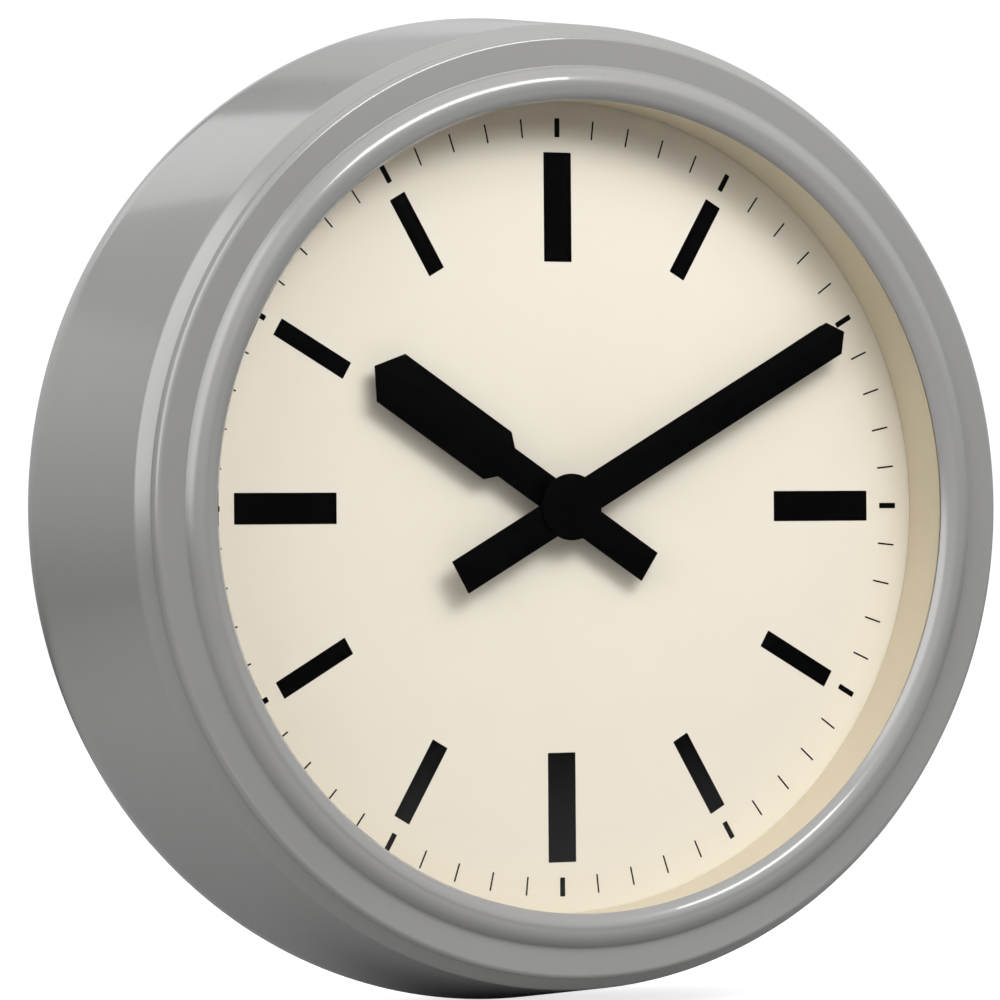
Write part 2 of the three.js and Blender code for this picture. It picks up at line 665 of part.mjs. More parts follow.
function movementFront() {
  const inside = HALF_SIDE - SHELL_WALL;
  const top = behindDial(SHELL_SPLIT);
  const body = block(-HALF_SIDE, HALF_SIDE, behindDial(SHELL_FRONT), top, -HALF_SIDE, HALF_SIDE);
  const upper = block(-inside, inside, behindDial(SHELL_FLOOR), top + 1, TRAY_TOP + PARTITION, inside);
  const tray = block(-inside, inside, behindDial(SHELL_FLOOR), top + 1, -inside, TRAY_TOP);
  const stem = rod(STEM_RADIUS, behindDial(-STEM_FRONT), behindDial(SHELL_FRONT + 0.5), 0, 0, 24);
  const bore = shaft(cannonPinion, PIPE_RADIUS + SHAFT_GAP, -STEM_FRONT - 1, SHELL_FLOOR + 1, 24);
  const pivots = [motionWheel, secondsWheel, idlerWheel, rotorPinion].map((wheel) =>
    shaft(wheel, PIVOT_RADIUS + SHAFT_GAP, PIVOT_FRONT - 0.2, SHELL_FLOOR + 1),
  );
  const knobRadius = KNOB_SHAFT_RADIUS + SHAFT_GAP;
  const knobPivot = shaft(knobPinion, knobRadius, PIVOT_FRONT - 0.2, SHELL_FLOOR + 1);
  return cut(join(body, stem), upper, tray, bore, ...pivots, knobPivot);
}

function movementBack() {
  const inside = HALF_SIDE - SHELL_WALL;
  const frontY = behindDial(SHELL_SPLIT + GAP);
  const endY = behindDial(BACK_SHELL_END);
  const bottom = TRAY_TOP + PARTITION;
  const body = block(-HALF_SIDE, HALF_SIDE, frontY, endY, bottom - PARTITION, HALF_SIDE);
  const hollow = block(-inside, inside, frontY - 1, endY - SHELL_WALL, bottom, inside);
  const pivots = trainPivots.map((wheel) =>
    shaft(wheel, PIVOT_RADIUS + SHAFT_GAP, SHELL_SPLIT + 2, BACK_SHELL_END + 1),
  );
  const knobRadius = KNOB_SHAFT_RADIUS + SHAFT_GAP;
  const knobHole = shaft(knobPinion, knobRadius, SHELL_SPLIT + 2, BACK_SHELL_END + 1);
  return cut(body, hollow, ...pivots, knobHole);
}

function trainBridge() {
  const rightX = HALF_SIDE - SHELL_WALL - 0.8;
  const body = block(-19, rightX, behindDial(BRIDGE_AT), behindDial(BRIDGE_AT + 0.8), -4, 24.5);
  const through = (wheel, radius) => shaft(wheel, radius, BRIDGE_AT - 1, BRIDGE_AT + 2, 16);
  return cut(
    body,
    through(centreWheel, ARBOR_RADIUS + SHAFT_GAP),
    through(motionWheel, PIVOT_RADIUS + SHAFT_GAP),
    through(knobPinion, KNOB_SHAFT_RADIUS + SHAFT_GAP),
    through(thirdWheel, PIVOT_RADIUS + SHAFT_GAP),
    through(secondsWheel, PIVOT_RADIUS + SHAFT_GAP),
    through(idlerWheel, PIVOT_RADIUS + SHAFT_GAP),
    through(rotorPinion, 2),
  );
}

function stator() {
  const frontY = behindDial(STATOR_AT);
  const backY = behindDial(STATOR_AT + STATOR_THICK);
  const body = block(STATOR_LEFT, STATOR_RIGHT, frontY, backY, STATOR_BOTTOM, STATOR_TOP);
  const windowFrom = STATOR_LEFT + 2.5;
  const windowTo = STATOR_RIGHT - 2.8;
  const opening = block(windowFrom, windowTo, frontY - 1, backY + 1, STATOR_BOTTOM - 1, 15.3);
  const rotorHole = shaft(rotorPinion, 3.6, STATOR_AT - 1, STATOR_AT + 3, 20);
  return cut(body, opening, rotorHole);
}

function coilCore() {
  return block(
    STATOR_LEFT,
    STATOR_RIGHT,
    behindDial(CORE_AT),
    behindDial(CORE_AT + STATOR_THICK),
    STATOR_BOTTOM,
    STATOR_BOTTOM + 3.2,
  );
}

function coil() {
  const centreZ = STATOR_BOTTOM + 1.6;
  const centre = CORE_AT + STATOR_THICK / 2;
  const fromX = STATOR_LEFT + 2.5;
  const toX = STATOR_RIGHT - 2.8;
  const length = toX - fromX - 0.8;
  const middleX = (fromX + toX) / 2;
  const winding = new THREE.CylinderGeometry(2.6, 2.6, length, 20).rotateZ(Math.PI / 2);
  winding.translate(middleX, behindDial(centre), centreZ);
  const hole = block(
    middleX - length,
    middleX + length,
    behindDial(CORE_AT - GAP),
    behindDial(CORE_AT + STATOR_THICK + GAP),
    STATOR_BOTTOM - GAP,
    STATOR_BOTTOM + 3.2 + GAP,
  );
  return cut(winding, hole);
}

function circuitBoard() {
  return block(-25, -8, behindDial(11), behindDial(12), TRAY_TOP + PARTITION + 1, -3.5);
}

function crystal() {
  const can = new THREE.CylinderGeometry(1, 1, 6, 12).rotateZ(Math.PI / 2);
  return can.translate(-17, behindDial(12 + GAP + 1), -7);
}

function batteryCell() {
  const body = new THREE.CylinderGeometry(BATTERY_RADIUS, BATTERY_RADIUS, BATTERY_LENGTH, 24);
  const nub = new THREE.CylinderGeometry(2.7, 2.7, 2.3, 16).translate(0, -BATTERY_LENGTH / 2 - 0.15, 0);
  return join(body, nub)
    .rotateZ(Math.PI / 2)
    .translate(-0.6, behindDial(batteryAt), batteryZ);
}

function batteryContact(fromX) {
  const frontY = behindDial(SHELL_FLOOR + GAP);
  const backY = behindDial(SHELL_SPLIT + 4);
  return block(fromX, fromX + CONTACT_SHEET, frontY, backY, batteryZ - 3, batteryZ + 3);
}

function stemNut() {
  const front = behindDial(-3.9);
  const nut = rod(6.9, front, behindDial(-1.4), 0, 0, 6);
  return cut(nut, rod(STEM_RADIUS + GAP, front - 1, behindDial(0), 0, 0, 24));
}

// ---- Assembly ----
add("case_drum", caseDrum(), "enamel");
add("bezel", bezel(), "enamel");
add("glass", rod(GLASS_RADIUS, glassFrontY, glassBackY, 0, 0, DRUM_SEGMENTS), "glass", {
  transparent: true,
  opacity: 0.2,
});
add(
  "glass_gasket",
  tube(GLASS_RADIUS, FLANGE_INNER + 1, glassBackY + GAP, FRONT_Y - GAP, DRUM_SEGMENTS),
  "rubber",
);
add("reflector_ring", reflectorRing(), "cream");
add("dial_plate", dialPlate(), "cream");
studAngles.forEach((angle, i) => {
  const [x, z] = polar(STUD_CIRCLE, angle);
  add(`dial_post_${i + 1}`, dialPost(x, z), "zincSteel");
  add(`dial_screw_${i + 1}`, dialScrew(x, z), "zincSteel");
});

add("back_panel", backPanel(), "black");
panelScrewSpots().forEach(([x, z], i) => add(`panel_screw_${i + 1}`, panelScrew(x, z), "zincSteel"));
add("battery_cover", batteryCover(), "blackPlastic");
add("hanger_plate", hangerPlate(), "zincSteel");
[-RIVET_X, RIVET_X].forEach((x, i) => add(`hanger_rivet_${i + 1}`, hangerRivet(x), "zincSteel"));

add("hour_hand", hourHand(), "black");
add("minute_hand", minuteHand(), "black");
add("hub_cap", hubCap(), "black");
const stemBore = STEM_RADIUS + GAP;
const shellFrontY = behindDial(SHELL_FRONT - GAP);
add("stem_washer", tube(7.5, stemBore, behindDial(-1.1), behindDial(-GAP), 24), "brass");
add("stem_nut", stemNut(), "brass");
add("dial_washer", tube(10, stemBore, dialBackY + GAP, shellFrontY, 24), "rubber");

add("movement_front", movementFront(), "blackPlastic");
add("movement_back", movementBack(), "blackPlastic");
add("train_bridge", trainBridge(), "whiteNylon");
add("minute_arbor", minuteArbor(), "brass");
add("clutch_spring", clutchSpring(), "zincSteel");
add("hour_wheel", hourWheelAndPipe(), "brass");
add("motion_wheel", motionWheelAndPinion(), "whiteNylon");
add("setting_knob", settingKnob(), "blackPlastic");
add("centre_wheel", centreWheelLoose(), "whiteNylon");
const thirdSet = [thirdPinion, CENTRE_WHEEL_AT, thirdWheel, THIRD_WHEEL_AT, BRIDGE_AT + 0.2];
const secondsSet = [secondsPinion, THIRD_WHEEL_AT, secondsWheel, SECONDS_WHEEL_AT, PIVOT_FRONT];
const idlerSet = [idlerPinion, SECONDS_WHEEL_AT, idlerWheel, CENTRE_WHEEL_AT - 0.2, PIVOT_FRONT];
add("third_wheel", trainWheel(...thirdSet), "whiteNylon");
add("seconds_wheel", trainWheel(...secondsSet), "whiteNylon");
add("idler_wheel", trainWheel(...idlerSet), "whiteNylon");
add("rotor", rotor(), "zincSteel");
add("stator", stator(), "zincSteel");
add("coil_core", coilCore(), "zincSteel");
add("coil", coil(), "copper");
add("circuit_board", circuitBoard(), "board");
add("crystal", crystal(), "zincSteel");
add("battery", batteryCell(), "cell");
add("contact_minus", batteryContact(-CONTACT_X - CONTACT_SHEET), "zincSteel");
add("contact_plus", batteryContact(CONTACT_X), "zincSteel");

export default clock;
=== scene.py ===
"""Looks of the deep-cased wall clock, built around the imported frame.

The frame is in metres. Sizes here are written in millimetres, on the same axes.
"""
import math
import random

import bmesh
import bpy
from mathutils import Matrix, Vector


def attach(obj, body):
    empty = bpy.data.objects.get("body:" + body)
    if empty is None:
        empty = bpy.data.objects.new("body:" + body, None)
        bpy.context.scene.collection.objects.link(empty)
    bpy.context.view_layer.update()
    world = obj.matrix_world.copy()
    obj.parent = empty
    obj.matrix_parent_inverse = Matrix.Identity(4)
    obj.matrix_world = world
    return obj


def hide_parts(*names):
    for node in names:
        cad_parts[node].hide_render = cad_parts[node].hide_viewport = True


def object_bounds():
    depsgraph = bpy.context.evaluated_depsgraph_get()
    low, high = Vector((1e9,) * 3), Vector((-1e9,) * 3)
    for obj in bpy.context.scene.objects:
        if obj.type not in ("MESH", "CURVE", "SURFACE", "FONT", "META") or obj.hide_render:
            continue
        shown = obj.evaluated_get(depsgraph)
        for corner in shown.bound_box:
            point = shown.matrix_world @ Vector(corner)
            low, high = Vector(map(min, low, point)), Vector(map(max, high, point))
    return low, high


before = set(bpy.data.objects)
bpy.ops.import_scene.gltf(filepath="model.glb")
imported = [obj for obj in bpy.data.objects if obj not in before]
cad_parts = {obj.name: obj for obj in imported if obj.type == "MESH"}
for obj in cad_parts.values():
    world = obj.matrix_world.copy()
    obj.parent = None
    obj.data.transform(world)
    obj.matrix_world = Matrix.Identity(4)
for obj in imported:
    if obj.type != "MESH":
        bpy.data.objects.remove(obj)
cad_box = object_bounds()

MM = 0.001
random.seed(7)

# ---- Sizes in millimetres, the same values as the solids ----
CASE_RADIUS = 225.0
REAR_ROUND = 42.0
CASE_TAPER = math.radians(7)
SHOULDER_CHAMFER = 5.6
SHOULDER_EASE = 4.0
FLANGE_EASE = 0.8
FLANGE_INNER = 184.5
REAR_LEDGE_Y = -4.0
REAR_LEDGE_INNER = 150.0
REAR_STEP_RADIUS = 165.0
REAR_RIM_INNER = 166.0
REAR_RIM_OUTER = 176.0
CASE_SHEET = 1.6
BODY_DEPTH = 136.2
DIAL_Y = -110.0
DIAL_SHEET = 1.2
DIAL_HOLE = 4.3
RING_WALL = 1.0
RING_FOOT = 4.0
BAR_OUTER = 158.95
QUARTER_BAR_INNER = 109.9
QUARTER_BAR_WIDTH = 13.8
HOUR_BAR_INNER = 120.6
HOUR_BAR_WIDTH = 8.3
TICK_INNER = 165.75
TICK_OUTER = 174.25
HOUR_TICK_WIDTH = 2.5
MINUTE_TICK_WIDTH = 0.77
INK_FRONT = 0.05
INK_BACK = 0.002
FACE_RADIUS = 181.8
BEZEL_SHEET = 1.2
BEZEL_HEIGHT = 5.6
BEZEL_EDGE_ROUND = 2.4
BEZEL_RING_FALL = 0.6
LIP_ROUND = 8.5
LIP_OUT = math.radians(65)
LIP_IN = math.radians(62)
GLASS_THICK = 3.0
GASKET_INNER = 185.5
RING_WIDTH = 13.9
STUD_RADIUS = 2.0
STUD_LENGTH = 14.0
GAP = 0.3
MINUTE_ANGLE = 60.6
HOUR_ANGLE = 303.4
HOUR_ARBOR = 2.8
MINUTE_ARBOR = 1.9
PANEL_RADIUS = 164
PANEL_FRONT_Y = -3.7
PANEL_BACK_Y = -2.2
COVER_OPENING = 60.0
COVER_NOTCH = 64.3
COVER_RADIUS = 66
COVER_FRONT_Y = -1.9
COVER_BACK_Y = -0.5
PANEL_SCREW_CIRCLE = 157
PANEL_SCREW_ANGLES = (20, 160, 225, 315)
HANGER_Z = 120
RIVET_XS = (-23, 23)
RING_SEGMENTS = 256
SMOOTH_ANGLE = math.radians(30)

# ---- Studio, in metres and watts ----
FLOOR_RADIUS = 1.3
FLOOR_DROP = 0.0004
OVERHEAD = ((0.44, 0.1), (0.5, 0.4), (0.62, 0.78), (0.8, 0.93))
BEHIND = ((0.38, 0.5), (0.40, 1.3), (0.51, 1.3), (0.53, 0.3), (0.565, 0.3), (0.60, 0.6))
GLOW_FROM = (-0.88, -0.22, 0.42)
GLOW_LEVEL = 4.0
WORLD_STRENGTH = 0.8
GLASS_INDEX = 1.5
CAMERA_AT = (-1.06972, -2.19934, -0.01192)
CAMERA_DEGREES = (90.3744, 0.4333, -26.4568)
FOCAL_LENGTH = 188.68  # in mm, as the sensor is
SENSOR_WIDTH = 36
MIRRORED_BY_GLASS = (0.4456, -0.895, 0.0065)

FRONT_Y = -BODY_DEPTH
REAR_CENTRE = CASE_RADIUS - REAR_ROUND
SHOULDER_Y = FRONT_Y + SHOULDER_CHAMFER
FLANGE_EDGE_R = REAR_CENTRE + (
    REAR_ROUND - SHOULDER_CHAMFER + math.sin(CASE_TAPER) * (REAR_ROUND + SHOULDER_Y)
) / math.cos(CASE_TAPER)
BEZEL_RADIUS = FLANGE_EDGE_R + 0.2
STUD_CIRCLE = BEZEL_RADIUS - 8
BEZEL_BACK_Y = FRONT_Y - GAP
BEZEL_RING_Y = FRONT_Y - BEZEL_HEIGHT
CORNER_Y = BEZEL_RING_Y + BEZEL_RING_FALL
LIP_CENTRE_Y = CORNER_Y + LIP_ROUND * math.cos(LIP_OUT)
LIP_CENTRE_R = BEZEL_RADIUS - RING_WIDTH - LIP_ROUND * math.sin(LIP_OUT)
LIP_END_Y = LIP_CENTRE_Y - LIP_ROUND * math.cos(LIP_IN)
GLASS_FRONT_Y = LIP_END_Y + BEZEL_SHEET * math.cos(LIP_IN) + 2 * GAP
GLASS_BACK_Y = GLASS_FRONT_Y + GLASS_THICK
GLASS_RADIUS = LIP_CENTRE_R + 2.6


# ---- Profiles ----
def arc(centre_r, centre_y, radius, start, end, steps):
    points = []
    for i in range(steps + 1):
        a = start + (end - start) * i / steps
        points.append((centre_r + radius * math.cos(a), centre_y + radius * math.sin(a)))
    return points


def sheet(path, thickness):
    """A (radius, y) path given a wall thickness on its right-hand side."""
    inner = []
    for i, (r, y) in enumerate(path):
        a, b = path[max(i - 1, 0)], path[max(i, 1)]
        c, d = path[min(i, len(path) - 2)], path[min(i + 1, len(path) - 1)]
        before = Vector((b[0] - a[0], b[1] - a[1])).normalized()
        after = Vector((d[0] - c[0], d[1] - c[1])).normalized()
        bisector = (before + after).normalized()
        stretch = thickness / before.dot(bisector)
        inner.append((r + stretch * bisector.y, y - stretch * bisector.x))
    return list(path) + inner[::-1]


def rounded(points, radius, closed=True, steps=4):
    """Corners of a polygon eased by a radius, which a point may carry as its third value."""
    made = []
    count = len(points)
    for i, point in enumerate(points):
        here = Vector(point[:2])
        ease = point[2] if len(point) > 2 else radius
        if ease <= 0 or (not closed and i in (0, count - 1)):
            made.append(tuple(here))
            continue
        back = Vector(points[(i - 1) % count][:2]) - here
        ahead = Vector(points[(i + 1) % count][:2]) - here
        half = back.angle(ahead) / 2
        reach = min(ease / math.tan(half), 0.45 * back.length, 0.45 * ahead.length)
        start = here + back.normalized() * reach
        end = here + ahead.normalized() * reach
        for k in range(steps + 1):
            t = k / steps
            made.append(tuple(start * (1 - t) ** 2 + here * 2 * t * (1 - t) + end * t * t))
    return made


def polar(radius, degrees):
    a = math.radians(degrees)
    return radius * math.cos(a), radius * math.sin(a)


def circle(radius, x=0.0, z=0.0, steps=64):
    turns = [2 * math.pi * i / steps for i in range(steps)]
    return [(x + radius * math.cos(a), z + radius * math.sin(a)) for a in turns]


# ---- Mesh builders ----
def new_object(name, mesh):
    obj = bpy.data.objects.new(name, mesh)
    bpy.context.scene.collection.objects.link(obj)
    return obj


def shade(mesh):
    mesh.polygons.foreach_set("use_smooth", [True] * len(mesh.polygons))
    mesh.set_sharp_from_angle(angle=SMOOTH_ANGLE)


def finish_mesh(bm, name):
    bmesh.ops.remove_doubles(bm, verts=bm.verts, dist=1e-7)
    bmesh.ops.recalc_face_normals(bm, faces=bm.faces)
    mesh = bpy.data.meshes.new(name)
    bm.to_mesh(mesh)
    bm.free()
    shade(mesh)
    return mesh


def lathe_into(bm, profile, segments, x=0.0, z=0.0):
    """Adds a closed (radius, y) profile turned about an axis along Y."""
    rings = []
    for r, y in profile:
        if r < 1e-6:
            rings.append([bm.verts.new((x * MM, y * MM, z * MM))])
        else:
            ring = []
            for i in range(segments):
                a = 2 * math.pi * i / segments
                point = (x + r * math.cos(a)) * MM, y * MM, (z + r * math.sin(a)) * MM
                ring.append(bm.verts.new(point))
            rings.append(ring)
    count = len(rings)
    for i in range(count):
        a, b = rings[i], rings[(i + 1) % count]
        if len(a) == 1 and len(b) == 1:
            continue
        for k in range(segments):
            m = (k + 1) % segments
            if len(a) == 1:
                bm.faces.new((a[0], b[m], b[k]))
            elif len(b) == 1:
                bm.faces.new((a[k], a[m], b[0]))
            else:
                bm.faces.new((a[k], a[m], b[m], b[k]))


def turned(name, profile, segments=RING_SEGMENTS, x=0.0, z=0.0):
    bm = bmesh.new()
    lathe_into(bm, profile, segments, x, z)
    return new_object(name, finish_mesh(bm, name))


def evaluated_mesh(obj):
    bpy.context.view_layer.update()
    graph = bpy.context.evaluated_depsgraph_get()
    return bpy.data.meshes.new_from_object(obj.evaluated_get(graph))


def plate(name, outlines, front_y, back_y, bevel):
    """A flat plate with eased edges. Outlines are (x, z) loops; loops inside others are holes."""
    data = bpy.data.curves.new(name + "_outline", "CURVE")
    data.dimensions = "2D"
    data.fill_mode = "BOTH"
    depth = (back_y - front_y) * MM
    data.extrude = depth / 2 - bevel * MM
    data.bevel_depth = bevel * MM
    data.bevel_resolution = 2
    data.offset = -bevel * MM
    for loop in outlines:
        spline = data.splines.new("POLY")
        spline.points.add(len(loop) - 1)
        for point, (px, pz) in zip(spline.points, loop):
            point.co = (px * MM, pz * MM, 0, 1)
        spline.use_cyclic_u = True
    curve = bpy.data.objects.new(name + "_outline", data)
    bpy.context.scene.collection.objects.link(curve)
    made = evaluated_mesh(curve)
    bpy.data.objects.remove(curve)
    bpy.data.curves.remove(data)
    middle = Matrix.Translation((0, (front_y + back_y) / 2 * MM, 0))
    made.transform(middle @ Matrix.Rotation(math.pi / 2, 4, "X"))
    bm = bmesh.new()
    bm.from_mesh(made)
    bpy.data.meshes.remove(made)
    return new_object(name, finish_mesh(bm, name))


def joined(name, objects):
    """Several objects made into one, in the order given."""
    bm = bmesh.new()
    for obj in objects:
        bm.from_mesh(obj.data)
        mesh = obj.data
        bpy.data.objects.remove(obj)
        bpy.data.meshes.remove(mesh)
    mesh = bpy.data.meshes.new(name)
    bm.to_mesh(mesh)
    bm.free()
    shade(mesh)
    return new_object(name, mesh)


def place(obj, body, slot, material, *nodes):
    obj.data.materials.clear()
    obj.data.materials.append(material)
    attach(obj, body)
    if nodes:
        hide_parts(*nodes)


# ---- Shader nodes ----
def ranged(tree, value, low, high, to_low=0.0, to_high=1.0, smooth=False):
    node = tree.nodes.new("ShaderNodeMapRange")
    if smooth:
        node.interpolation_type = "SMOOTHSTEP"
    limits = {"From Min": low, "From Max": high, "To Min": to_low, "To Max": to_high}
    for key, number in limits.items():
        node.inputs[key].default_value = number
    tree.links.new(value, node.inputs["Value"])
    return node.outputs["Result"]


def product(tree, a, b):
    node = tree.nodes.new("ShaderNodeMath")
    node.operation = "MULTIPLY"
    tree.links.new(a, node.inputs[0])
    tree.links.new(b, node.inputs[1])
    return node.outputs[0]


def blended(tree, factor, a, b):
    """Colour a where factor is 0 and b, a socket or a colour, where it is 1."""
    node = tree.nodes.new("ShaderNodeMix")
    node.data_type = "RGBA"
    tree.links.new(factor, node.inputs[0])
    tree.links.new(a, node.inputs[6])
    if isinstance(b, tuple):
        node.inputs[7].default_value = b
    else:
        tree.links.new(b, node.inputs[7])
    return node.outputs[2]


def grey_ramp(tree, value, stops, interpolation="LINEAR"):
    node = tree.nodes.new("ShaderNodeValToRGB")
    node.color_ramp.interpolation = interpolation
    elements = node.color_ramp.elements
    elements[0].position, elements[1].position = stops[0][0], stops[-1][0]
    elements[0].color = (*[stops[0][1]] * 3, 1)
    elements[1].color = (*[stops[-1][1]] * 3, 1)
    for position, grey in stops[1:-1]:
        elements.new(position).color = (grey, grey, grey, 1)
    tree.links.new(value, node.inputs["Fac"])
    return node.outputs["Color"]


def facing(tree, direction, towards):
    node = tree.nodes.new("ShaderNodeVectorMath")
    node.operation = "DOT_PRODUCT"
    node.inputs[1].default_value = Vector(towards).normalized()
    tree.links.new(direction, node.inputs[0])
    return node.outputs["Value"]


# ---- Materials ----
class Paint:
    """A Principled material and the node helpers that give it grain, wear and colour variation."""

    def __init__(self, name, color, roughness, metallic=0.0,
                 coat=0.0, coat_roughness=0.05, specular=0.5):
        self.material = bpy.data.materials.new(name)
        self.material.use_nodes = True
        self.tree = self.material.node_tree
        self.shader = self.tree.nodes["Principled BSDF"]
        s = self.shader.inputs
        s["Base Color"].default_value = (*color, 1)
        s["Roughness"].default_value = roughness
        s["Metallic"].default_value = metallic
        s["Coat Weight"].default_value = coat
        s["Coat Roughness"].default_value = coat_roughness
        s["Specular IOR Level"].default_value = specular
        self.color = color
        self.where = self.tree.nodes.new("ShaderNodeTexCoord").outputs["Object"]
        self.color_out = None
        self.bump_out = None

    def node(self, kind, **inputs):
        made = self.tree.nodes.new(kind)
        for key, value in inputs.items():
            made.inputs[key.replace("_", " ")].default_value = value
        return made

    def link(self, a, b):
        self.tree.links.new(a, b)

    def noise(self, scale, detail, stretch=None):
        made = self.node("ShaderNodeTexNoise", Scale=scale, Detail=detail, Roughness=0.55)
        if stretch:
            mapping = self.node("ShaderNodeMapping")
            mapping.inputs["Scale"].default_value = stretch
            self.link(self.where, mapping.inputs["Vector"])
            self.link(mapping.outputs["Vector"], made.inputs["Vector"])
        else:
            self.link(self.where, made.inputs["Vector"])
        return made.outputs["Fac"]

    def remap(self, value, low, high, to_low, to_high):
        return ranged(self.tree, value, low, high, to_low, to_high)

    def tint(self, factor, color):
        """Mixes the colour so far towards another where factor is 1."""
        made = self.tree.nodes.new("ShaderNodeMix")
        made.data_type = "RGBA"
        if self.color_out is None:
            made.inputs[6].default_value = (*self.color, 1)
        else:
            self.link(self.color_out, made.inputs[6])
        made.inputs[7].default_value = (*color, 1)
        self.link(factor, made.inputs[0])
        self.color_out = made.outputs[2]
        self.link(self.color_out, self.shader.inputs["Base Color"])
        return self

    def mottle(self, scale, color, strength, stretch=None):
        noise = self.noise(scale, 4.0, stretch)
        return self.tint(self.remap(noise, 0.35, 0.7, 0, strength), color)

    def specks(self, scale, color, strength, threshold=0.74):
        noise = self.noise(scale, 1.0)
        return self.tint(self.remap(noise, threshold, threshold + 0.03, 0, strength), color)

    def rough(self, scale, low, high, stretch=None):
        out = self.remap(self.noise(scale, 4.0, stretch), 0.3, 0.7, low, high)
        self.link(out, self.shader.inputs["Roughness"])
        return self

    def wear(self, color, strength):
        """Rubbed edges, where the surface turns sharply outwards."""
        geometry = self.node("ShaderNodeNewGeometry")
        edge = self.remap(geometry.outputs["Pointiness"], 0.53, 0.6, 0, 1)
        broken = self.remap(self.noise(90, 5.0), 0.42, 0.62, 0, strength)
        return self.tint(product(self.tree, edge, broken), color)

    def bump(self, scale, strength, distance, stretch=None):
        made = self.node("ShaderNodeBump", Strength=strength, Distance=distance)
        self.link(self.noise(scale, 2.0, stretch), made.inputs["Height"])
        if self.bump_out is not None:
            self.link(self.bump_out, made.inputs["Normal"])
        self.bump_out = made.outputs["Normal"]
        self.link(self.bump_out, self.shader.inputs["Normal"])
        return self


def enamel():
    made = Paint("grey_enamel", (0.236, 0.234, 0.228), 0.2, coat=0.9, coat_roughness=0.03)
    made.mottle(5, (0.218, 0.215, 0.214), 0.5)
    made.mottle(60, (0.25, 0.248, 0.242), 0.2)
    made.specks(420, (0.16, 0.155, 0.15), 0.25)
    made.wear((0.29, 0.286, 0.278), 0.15)
    made.rough(26, 0.17, 0.24)
    made.bump(140, 0.04, 0.0004)
    made.bump(1500, 0.03, 0.00006)
    return made.material


def cream():
    made = Paint("cream_paint", (0.815, 0.767, 0.667), 0.5)
    made.mottle(7, (0.8, 0.747, 0.637), 0.5)
    made.mottle(60, (0.825, 0.78, 0.685), 0.2)
    made.specks(520, (0.62, 0.55, 0.42), 0.3, 0.78)
    made.rough(60, 0.42, 0.55)
    made.bump(900, 0.02, 0.00005)
    return made.material


def tan():
    """The reflector ring's paint: the dial's cream, a shade deeper, which is painted shade for the
    ring's recessed wall under the lip.
    """
    made = Paint("cream_painted_shade", (0.62, 0.55, 0.42), 0.45)
    made.mottle(9, (0.6, 0.525, 0.39), 0.6)
    made.mottle(140, (0.65, 0.58, 0.45), 0.3)
    made.rough(60, 0.38, 0.52)
    made.bump(900, 0.1, 0.0001)
    return made.material


def ink():
    made = Paint("black_ink", (0.0008, 0.0008, 0.0009), 0.5, specular=0.03)
    made.mottle(90, (0.0016, 0.0016, 0.0016), 0.6)
    made.rough(150, 0.45, 0.6)
    made.bump(1800, 0.12, 0.00005)
    return made.material


def black_paint():
    made = Paint("black_hand_paint", (0.0007, 0.0007, 0.0008), 0.5, specular=0.04)
    made.mottle(60, (0.0015, 0.0015, 0.0014), 0.6)
    made.specks(900, (0.006, 0.006, 0.006), 0.4, 0.76)
    made.rough(120, 0.45, 0.62)
    made.bump(1600, 0.15, 0.00006)
    return made.material


def panel_paint():
    made = Paint("black_panel_paint", (0.02, 0.02, 0.021), 0.42)
    made.mottle(18, (0.03, 0.03, 0.03), 0.7)
    made.specks(600, (0.09, 0.085, 0.08), 0.4)
    made.rough(40, 0.35, 0.55)
    made.bump(900, 0.35, 0.00015)
    return made.material


def moulded(name, color, bright):
    made = Paint(name, color, 0.5)
    made.mottle(40, bright, 0.5)
    made.wear(tuple(min(1, c * 1.6 + 0.02) for c in color), 0.5)
    made.rough(80, 0.42, 0.6)
    made.bump(1400, 0.3, 0.00008)
    return made.material


def metal(name, color, dark, roughness, stretch=(1, 1, 1)):
    made = Paint(name, color, roughness, metallic=1.0)
    made.mottle(70, dark, 0.6, stretch=stretch)
    made.specks(800, tuple(c * 0.4 for c in color), 0.4)
    made.rough(260, roughness * 0.75, roughness * 1.3, stretch=stretch)
    made.bump(1500, 0.15, 0.00005, stretch=stretch)
    return made.material


def rubber():
    made = Paint("black_rubber", (0.018, 0.018, 0.018), 0.8)
    made.mottle(60, (0.035, 0.034, 0.033), 0.6)
    made.bump(1200, 0.4, 0.0001)
    return made.material


def circuit():
    made = Paint("solder_mask", (0.028, 0.147, 0.06), 0.4)
    made.mottle(600, (0.05, 0.2, 0.09), 0.7)
    made.bump(900, 0.3, 0.0001)
    return made.material


def cell_sleeve():
    made = Paint("cell_sleeve", (0.027, 0.114, 0.275), 0.35)
    made.mottle(50, (0.04, 0.15, 0.33), 0.5)
    made.bump(700, 0.1, 0.0001)
    return made.material


